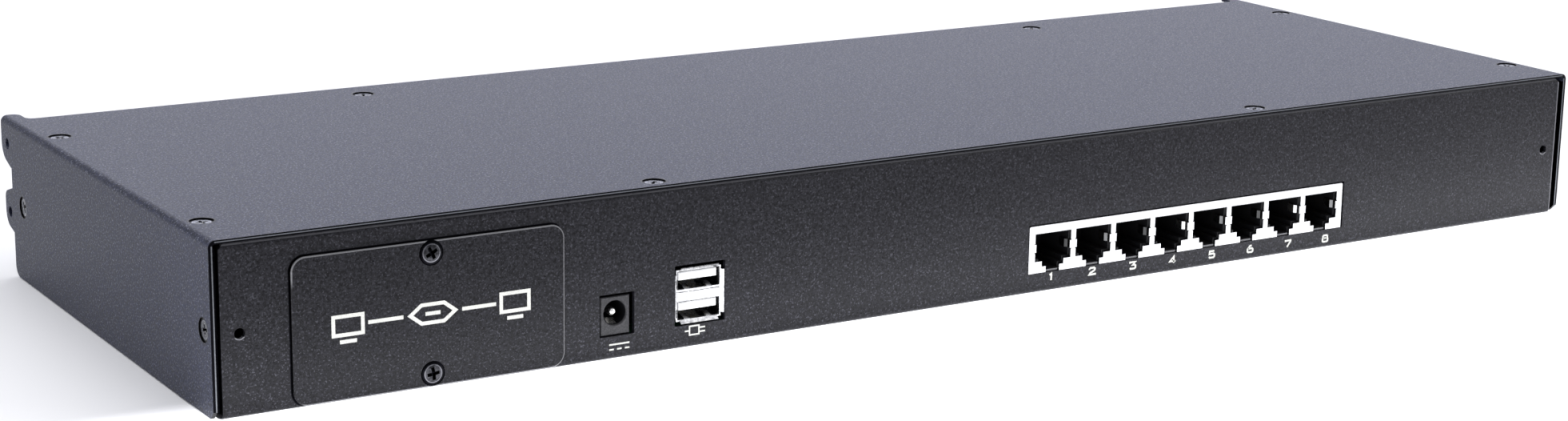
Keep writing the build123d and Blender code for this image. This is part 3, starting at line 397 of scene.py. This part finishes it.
def plated_steel(name, color, roughness):
    """Plated metal with rolling marks and faint smudges."""
    r = Recipe(name, color, roughness, metallic=1.0)
    lines, smear = rolling_marks(r)
    smudge = 0.08
    r.color(r.mix_color(r.ramp(smear, 0.35, 0.7), color, shade(color, 0.88)))
    rough = r.math("ADD", r.ramp(lines, 0.3, 0.7, 0.0, smudge), r.ramp(smear, 0.3, 0.75, 0.0, smudge))
    r.roughness(r.math("ADD", rough, roughness))
    return r.material


# Painted light and shade on the springs, one tone for each port from left to right.
SPRING_LIGHT_AND_SHADE = (0.03, 0.09, 0.04, 0.42, 0.10, 0.04, 0.40, 0.10)


def port_shield_plating(name):
    """Tin-plated port shield: bright on the panel, with painted light and shade on the springs inside the
    ports, lighter or darker from one port to the next."""
    r = Recipe(name, (0.6, 0.6, 0.6), 0.26, metallic=1.0)
    lines, smear = rolling_marks(r)
    bright = r.mix_color(r.ramp(smear, 0.35, 0.7), (0.49, 0.49, 0.495), (0.42, 0.42, 0.425))
    low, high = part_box("port_housing")
    along = r.add("ShaderNodeMapRange")
    along.inputs["From Min"].default_value = low.x
    along.inputs["From Max"].default_value = high.x
    r.link(r.axis("X"), along.inputs["Value"])
    spring_shading = r.add("ShaderNodeValToRGB")
    spring_shading.color_ramp.interpolation = "CONSTANT"
    stops = spring_shading.color_ramp.elements
    ready_made = len(stops)
    for port, tone in enumerate(SPRING_LIGHT_AND_SHADE):
        place = port / len(SPRING_LIGHT_AND_SHADE)
        stop = stops[port] if port < ready_made else stops.new(place)
        stop.position = place
        stop.color = (tone, tone, tone, 1)
    r.link(along.outputs["Result"], spring_shading.inputs["Fac"])
    # Inside the ports, the springs' painted light and shade take the place of the plating's colour.
    inside = r.beyond(r.axis("Y"), PANEL_Y + 0.55 * MM, 0.2 * MM)
    r.color(r.mix_color(inside, bright, spring_shading.outputs["Color"]))
    r.roughness(r.math("ADD", r.ramp(lines, 0.3, 0.7, 0.0, 0.1), r.ramp(smear, 0.3, 0.75, 0.2, 0.32)))
    return r.material


def usb_plating(name):
    """USB shell: bright lips and web, and painted shade in the bore, darker within a few millimetres."""
    r = Recipe(name, (0.5, 0.5, 0.5), 0.26, metallic=1.0)
    smear = r.noise(1.1 * MM, detail=4.0)
    bright = r.mix_color(r.ramp(smear, 0.35, 0.68), (0.62, 0.62, 0.62), (0.34, 0.34, 0.35))
    # Painted shade, deeper into the bore.
    depth = r.ramp(r.axis("Y"), PANEL_Y + 0.5 * MM, PANEL_Y + 2.6 * MM)
    r.color(r.mix_color(depth, bright, (0.03, 0.03, 0.032)))
    r.roughness(r.ramp(smear, 0.3, 0.75, 0.2, 0.4))
    r.bump(smear, 0.05 * MM)
    return r.material


# ---- mouldings, board and print -------------------------------------------------------------
def moulding(name, color, roughness, texture=0.012 * MM, specular=0.5):
    """Moulded plastic with a fine spark-eroded skin and slight flow shading."""
    r = Recipe(name, color, roughness, specular=specular)
    skin = r.noise(0.16 * MM, detail=2.0)
    flow = r.noise(5.0 * MM, detail=2.0)
    r.color(r.mix_color(r.ramp(flow, 0.3, 0.7), shade(color, 0.88), shade(color, 1.1)))
    r.roughness(r.ramp(skin, 0.3, 0.7, roughness - 0.05, roughness + 0.07))
    r.bump(skin, texture)
    return r.material


def port_moulding(name):
    """Black port block whose front rims get a painted highlight."""
    r = Recipe(name, (0.006, 0.006, 0.007), 0.45, specular=0.2)
    skin = r.noise(0.16 * MM, detail=2.0)
    # A painted highlight on the block's front rims.
    rim = r.below(r.axis("Y"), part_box("port_housing")[0].y + 0.12 * MM, 0.05 * MM)
    body = r.mix_color(r.ramp(skin, 0.3, 0.7), (0.004, 0.004, 0.005), (0.008, 0.008, 0.009))
    r.color(r.mix_color(rim, body, (0.13, 0.13, 0.135)))
    r.roughness(r.ramp(skin, 0.3, 0.7, 0.4, 0.52))
    r.bump(skin, 0.012 * MM)
    return r.material


def jack_moulding(name):
    """Power inlet: a textured face close to the panel's tone, and a bore in painted shade."""
    r = Recipe(name, (0.02, 0.02, 0.022), 0.45, specular=0.25)
    skin = r.noise(0.4 * MM, detail=3.0, roughness=0.65)
    face = r.mix_color(r.ramp(skin, 0.38, 0.64), (0.010, 0.010, 0.011), (0.032, 0.031, 0.034))
    # Painted shade in the bore.
    inside = r.beyond(r.axis("Y"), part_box("power_jack_body")[0].y + 0.25 * MM, 0.1 * MM)
    r.color(r.mix_color(inside, face, SHADOW_GAP))
    r.roughness(r.ramp(skin, 0.3, 0.7, 0.38, 0.52))
    r.bump(skin, 0.03 * MM)
    return r.material


def solder_mask(name):
    """Green mask over a maze of tracks, with scattered plated vias."""
    dark, light = (0.012, 0.085, 0.035), (0.03, 0.17, 0.075)
    r = Recipe(name, dark, 0.32)
    brick = r.add("ShaderNodeTexBrick", offset=0.37, squash=1.6)
    brick.inputs["Scale"].default_value = 1 / (9.0 * MM)
    brick.inputs["Mortar Size"].default_value = 0.045
    brick.inputs["Mortar Smooth"].default_value = 0.1
    r.link(r.place, brick.inputs["Vector"])
    vias = r.ramp(r.cells(2.6 * MM), 0.16, 0.12)
    tracks = r.either(brick.outputs["Fac"], r.ramp(r.noise(4.0 * MM, detail=0.0), 0.6, 0.62))
    masked = r.mix_color(tracks, dark, light)
    r.color(r.mix_color(vias, masked, (0.55, 0.52, 0.42)))
    r.bump(tracks, 0.03 * MM)
    return r.material


def can_sleeve(name):
    """Printed shrink sleeve around a bare aluminium top."""
    blue = (0.02, 0.03, 0.08)
    r = Recipe(name, blue, 0.3)
    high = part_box("electrolytic_capacitors")[1]
    top = r.ramp(r.axis("Z"), high.z - 0.5 * MM, high.z - 0.4 * MM)
    stripe = r.ramp(r.noise(2.0 * MM, detail=0.0, stretch=(1, 1, 0)), 0.6, 0.62)
    sleeve = r.mix_color(stripe, blue, (0.35, 0.37, 0.45))
    r.color(r.mix_color(top, sleeve, (0.62, 0.62, 0.62)))
    r.metallic(top)
    r.bump(r.noise(0.5 * MM), 0.01 * MM)
    return r.material


def print_ink(name):
    """Off-white screen print, slightly uneven and a little worn."""
    ink = (0.48, 0.48, 0.44)
    r = Recipe(name, ink, 0.55)
    patches = r.noise(0.35 * MM, detail=2.0)
    r.color(r.mix_color(r.ramp(patches, 0.3, 0.55), shade(ink, 0.8), ink))
    r.bump(r.noise(0.3 * MM), 0.01 * MM)
    return r.material


slot_looks = {
    "cover_powder_coat": cover_coat("cover_powder_coat"),
    "tray_powder_coat": panel_coat("tray_powder_coat"),
    "plate_powder_coat": plate_coat("plate_powder_coat"),
    "black_screw": plated_steel("black_screw", (0.045, 0.045, 0.05), 0.3),
    "zinc_steel": plated_steel("zinc_steel", (0.66, 0.66, 0.64), 0.3),
    "shield_plating": plated_steel("shield_plating", (0.58, 0.58, 0.58), 0.28),
    "black_moulding": moulding("black_moulding", (0.006, 0.006, 0.007), 0.5, specular=0.25),
    "white_moulding": moulding("white_moulding", (0.86, 0.86, 0.85), 0.38),
    "gold_contact": plated_steel("gold_contact", (0.86, 0.62, 0.26), 0.22),
    "nickel_pin": plated_steel("nickel_pin", (0.80, 0.79, 0.76), 0.18),
    "board_laminate": solder_mask("board_laminate"),
    "clear_sheet": moulding("clear_sheet", (0.05, 0.05, 0.055), 0.3),
    "chip_resin": moulding("chip_resin", (0.018, 0.018, 0.019), 0.5, texture=0.02 * MM),
    "tinned_lead": plated_steel("tinned_lead", (0.80, 0.80, 0.79), 0.3),
    "can_sleeve": can_sleeve("can_sleeve"),
    "ferrite": moulding("ferrite", (0.06, 0.06, 0.062), 0.6, texture=0.03 * MM),
    "fuse_body": moulding("fuse_body", (0.75, 0.72, 0.62), 0.35),
    "sink_anodised": plated_steel("sink_anodised", (0.05, 0.05, 0.052), 0.4),
    "ceramic_brown": moulding("ceramic_brown", (0.36, 0.24, 0.14), 0.4),
}

# The side screws get half the top screws' tone: painted light on the top ones, painted shade on the side
# ones.
TOP_SCREW_LIT_TONE = (0.22, 0.225, 0.25)
SIDE_SCREW_SHADED_TONE = (0.11, 0.115, 0.13)
top_face = COVER_HIGH.z - SCREW_SINK
side_face = HALF_WIDTH - SCREW_SINK
own_looks = {
    "cover_top_screws": screw_head("top_screw", TOP_SCREW_LIT_TONE, top_axes, "XY", "Z", top_face),
    "cover_side_screws": screw_head("side_screw", SIDE_SCREW_SHADED_TONE, side_axes, "YZ", "X", side_face),
    "option_plate_screws": plate_screw("plate_screw"),
    "port_shield": port_shield_plating("port_shield_plating"),
    "port_housing": port_moulding("port_moulding"),
    "usb_shell": usb_plating("usb_plating"),
    "power_jack_body": jack_moulding("jack_moulding"),
}

slots = {entry["node"]: entry["material_slot"] for entry in frame["record"]["subparts"]}
for name, obj in nodes.items():
    obj.data.materials.clear()
    obj.data.materials.append(own_looks.get(name) or slot_looks[slots[name]])


# ---- printed marks --------------------------------------------------------------------------
INK_RISE = 0.03 * MM        # how far the print stands out of its face
INK_ROOT = 0.06 * MM        # how far it reaches into it
MITRE_LIMIT = 0.45
ink_look = print_ink("print_ink")


def mitred_edges(path, width, closed):
    """The two edge points beside each point of a path in the panel's plane."""
    edges = []
    count = len(path)
    for i, point in enumerate(path):
        runs = []
        if closed or i > 0:
            runs.append((point - path[i - 1]).normalized())
        if closed or i < count - 1:
            runs.append((path[(i + 1) % count] - point).normalized())
        sides = [Vector((-run.y, run.x)) for run in runs]
        mitre = sum(sides, Vector((0, 0))).normalized()
        reach = width / 2 / max(MITRE_LIMIT, mitre.dot(sides[0]))
        edges.append((point + mitre * reach, point - mitre * reach))
    return edges


def print_mark(name, strokes, face_y, body):
    """One printed mark: raised ribbons on a face that looks towards -Y.

    A stroke is a path, a width and whether the path is closed, in millimetres across the panel.
    """
    mesh = bmesh.new()
    for path, width, closed in strokes:
        path = [Vector((x * MM, z * MM)) for x, z in path]
        rows = []
        for left, right in mitred_edges(path, width * MM, closed):
            corners = ((left, -INK_RISE), (right, -INK_RISE), (right, INK_ROOT), (left, INK_ROOT))
            rows.append([mesh.verts.new((at.x, face_y + inward, at.y)) for at, inward in corners])
        steps = len(rows) if closed else len(rows) - 1
        for i in range(steps):
            here, there = rows[i], rows[(i + 1) % len(rows)]
            for k in range(4):
                mesh.faces.new((here[k], here[(k + 1) % 4], there[(k + 1) % 4], there[k]))
        if not closed:
            mesh.faces.new(rows[0])
            mesh.faces.new(rows[-1][::-1])
    bmesh.ops.recalc_face_normals(mesh, faces=mesh.faces)
    data = bpy.data.meshes.new(name)
    mesh.to_mesh(data)
    mesh.free()
    data.materials.append(ink_look)
    mark = bpy.data.objects.new(name, data)
    bpy.context.scene.collection.objects.link(mark)
    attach(mark, body)


def bar(start, end, width):
    return ([start, end], width, False)


def rectangle(low, high, width):
    return ([(low[0], low[1]), (high[0], low[1]), (high[0], high[1]), (low[0], high[1])], width, True)


# Digits as paths in a unit box. The first path of the 8 is closed.
DIGITS = {
    "1": [[(0.30, 0.80), (0.56, 0.98), (0.56, 0.0)]],
    "2": [[(0.08, 0.72), (0.08, 0.84), (0.22, 1.0), (0.78, 1.0), (0.92, 0.86), (0.92, 0.70), (0.80, 0.56),
           (0.20, 0.24), (0.06, 0.0), (0.98, 0.0), (0.98, 0.16)]],
    "3": [[(0.06, 0.84), (0.06, 1.0), (0.90, 1.0), (0.48, 0.58), (0.80, 0.58), (0.94, 0.44), (0.94, 0.14),
           (0.80, 0.0), (0.20, 0.0), (0.06, 0.14)]],
    "4": [[(0.70, 0.0), (0.70, 1.0), (0.06, 0.28), (0.98, 0.28)]],
    "5": [[(0.90, 1.0), (0.18, 1.0), (0.12, 0.56), (0.80, 0.60), (0.94, 0.46), (0.94, 0.14), (0.80, 0.0),
           (0.20, 0.0), (0.06, 0.14)]],
    "6": [[(0.72, 1.0), (0.46, 1.0), (0.06, 0.50), (0.06, 0.14), (0.20, 0.0), (0.80, 0.0), (0.94, 0.14),
           (0.94, 0.44), (0.80, 0.57), (0.12, 0.57)]],
    "7": [[(0.06, 0.80), (0.06, 1.0), (0.94, 1.0), (0.94, 0.88), (0.36, 0.0)]],
    "8": [[(0.24, 0.55), (0.12, 0.66), (0.12, 0.89), (0.24, 1.0), (0.76, 1.0), (0.88, 0.89), (0.88, 0.66),
           (0.76, 0.55), (0.94, 0.43), (0.94, 0.13), (0.80, 0.0), (0.20, 0.0), (0.06, 0.13), (0.06, 0.43)],
          [(0.24, 0.55), (0.76, 0.55)]],
}

NUMBER_START, NUMBER_PITCH = 24.3, 14.39    # x of the first number's middle, and the step
NUMBER_Z, NUMBER_DROP = 4.1, 0.17           # z of the first, and how much each next one is lower
NUMBER_WIDTH, NUMBER_HEIGHT, NUMBER_STROKE = 2.25, 1.9, 0.55


def place_digit(path, x, z):
    """A unit-box path at a number's size, with its middle at x, z."""
    return [(x + (u - 0.5) * NUMBER_WIDTH, z + (v - 0.5) * NUMBER_HEIGHT) for u, v in path]


for index, digit in enumerate("12345678"):
    x, z = NUMBER_START + NUMBER_PITCH * index, NUMBER_Z - NUMBER_DROP * index
    strokes = []
    for turn, path in enumerate(DIGITS[digit]):
        loop = digit == "8" and turn == 0
        strokes.append((place_digit(path, x, z), NUMBER_STROKE, loop))
    print_mark(f"port_number_{digit}", strokes, PANEL_Y, "chassis")

# Direct current, under the power inlet: one long stroke over three dashes.
DC_LEFT, DC_LENGTH, DC_STROKE = -114.6, 5.8, 0.42
DC_DASH, DC_DASH_PITCH = 1.3, 2.25
direct_current = [bar((DC_LEFT, 4.0), (DC_LEFT + DC_LENGTH, 4.0), DC_STROKE)]
for index in range(3):
    x = DC_LEFT + DC_DASH_PITCH * index
    direct_current.append(bar((x, 2.7), (x + DC_DASH, 2.7), DC_STROKE))
print_mark("direct_current_mark", direct_current, PANEL_Y, "chassis")

# A plug under the USB pair: its body, two prongs and the stub of a cord.
PLUG_STROKE = 0.4
plug = [rectangle((-91.2, 3.4), (-88.4, 5.7), PLUG_STROKE)]
plug += [bar((-88.2, z), (-86.6, z), PLUG_STROKE) for z in (5.1, 4.0)]
plug.append(bar((-92.6, 4.55), (-91.4, 4.55), PLUG_STROKE))
print_mark("plug_mark", plug, PANEL_Y, "chassis")

# Two screens joined through a hub, on the blanking plate.
LINK_STROKE = 0.95
LINK_LOW, LINK_Z, LINK_HIGH = 17.0, 19.3, 21.6
SCREEN_WIDTH, SCREEN_FOOT_Z = 7.6, 15.3
link = []
for x in (-189.6, -145.2):
    link.append(rectangle((x, LINK_LOW), (x + SCREEN_WIDTH, LINK_HIGH), LINK_STROKE))
    link.append(bar((x + 1.6, SCREEN_FOOT_Z), (x + 6.0, SCREEN_FOOT_Z), LINK_STROKE))
for start, end in ((-180.6, -171.4), (-155.8, -146.6)):
    link.append(bar((start, LINK_Z), (end, LINK_Z), LINK_STROKE))
hub = [(-169.6, LINK_Z), (-166.6, LINK_HIGH), (-160.6, LINK_HIGH)]
hub += [(-157.6, LINK_Z), (-160.6, LINK_LOW), (-166.6, LINK_LOW)]
link.append((hub, LINK_STROKE, True))
link.append(bar((-165.6, LINK_Z), (-161.6, LINK_Z), LINK_STROKE))
print_mark("link_mark", link, PLATE_Y, "option_plate")


# ---- stage, light and camera ----------------------------------------------------------------
FLOOR_EDGE = 6.0
GLOW_REACH = 0.11           # how far in front of the panel the floor glows
GLOW_STRENGTH = 4.2


def make_floor():
    """White floor. A strip of it in front of the panel glows, most of all at the panel's foot."""
    mesh = bpy.data.meshes.new("studio_floor")
    corners = [(-FLOOR_EDGE, -FLOOR_EDGE, 0), (FLOOR_EDGE, -FLOOR_EDGE, 0)]
    corners += [(FLOOR_EDGE, FLOOR_EDGE, 0), (-FLOOR_EDGE, FLOOR_EDGE, 0)]
    mesh.from_pydata(corners, [], [(0, 1, 2, 3)])
    floor = bpy.data.objects.new("studio_floor", mesh)
    bpy.context.scene.collection.objects.link(floor)
    r = Recipe("studio_white", (0.9, 0.9, 0.9), 0.9, specular=0.0)
    r.color(r.mix_color(r.noise(0.8, detail=1.0), (0.89, 0.89, 0.89), (0.91, 0.91, 0.91)))
    towards_panel = r.ramp(r.axis("Y"), PANEL_Y - GLOW_REACH, PANEL_Y)
    before_panel = r.below(r.axis("Y"), PANEL_Y, 0.02)
    between_ends = r.ramp(r.math("ABSOLUTE", r.axis("X")), 0.75, 0.25)
    glow = r.both(r.both(towards_panel, before_panel), between_ends)
    r.shader.inputs["Emission Color"].default_value = (0.95, 0.96, 1.0, 1)
    r.link(r.math("MULTIPLY", glow, GLOW_STRENGTH), r.shader.inputs["Emission Strength"])
    mesh.materials.append(r.material)


def make_light(name, place, target, size, power, color=(1, 1, 1)):
    data = bpy.data.lights.new(name, "AREA")
    data.shape = "RECTANGLE"
    data.size, data.size_y = size
    data.energy = power
    data.color = color
    light = bpy.data.objects.new(name, data)
    light.location = place
    light.rotation_euler = (Vector(target) - Vector(place)).to_track_quat("-Z", "Y").to_euler()
    bpy.context.scene.collection.objects.link(light)


def make_world(color, strength):
    world = bpy.data.worlds.new("studio")
    bpy.context.scene.world = world
    world.use_nodes = True
    background = world.node_tree.nodes["Background"]
    background.inputs["Color"].default_value = (*color, 1)
    background.inputs["Strength"].default_value = strength


def make_camera(place, degrees, lens):
    data = bpy.data.cameras.new("camera")
    data.sensor_width = 36.0
    data.lens = lens
    data.clip_end = 50.0
    camera = bpy.data.objects.new("camera", data)
    camera.location = place
    camera.rotation_euler = [math.radians(angle) for angle in degrees]
    bpy.context.scene.collection.objects.link(camera)
    bpy.context.scene.camera = camera


make_floor()
make_world((0.95, 0.96, 1.04), 0.68)
make_light("top_softbox", (0.0, 0.1, 1.5), (0.0, 0.0, 0.0), (3.0, 2.4), 23.0)
make_light("back_softbox", (1.2, 1.5, 0.62), (0.1, 0.0, 0.04), (3.4, 1.1), 12.2, (0.93, 0.95, 1.12))
make_light("front_right_softbox", (0.62, -0.62, 0.30), (0.15, -0.08, 0.02), (0.5, 0.35), 1.8)
make_camera((-0.44813, -0.70161, 0.21144), (76.3066, -0.8069, -31.5408), 66.532)
bpy.context.scene.view_settings.view_transform = "Standard"
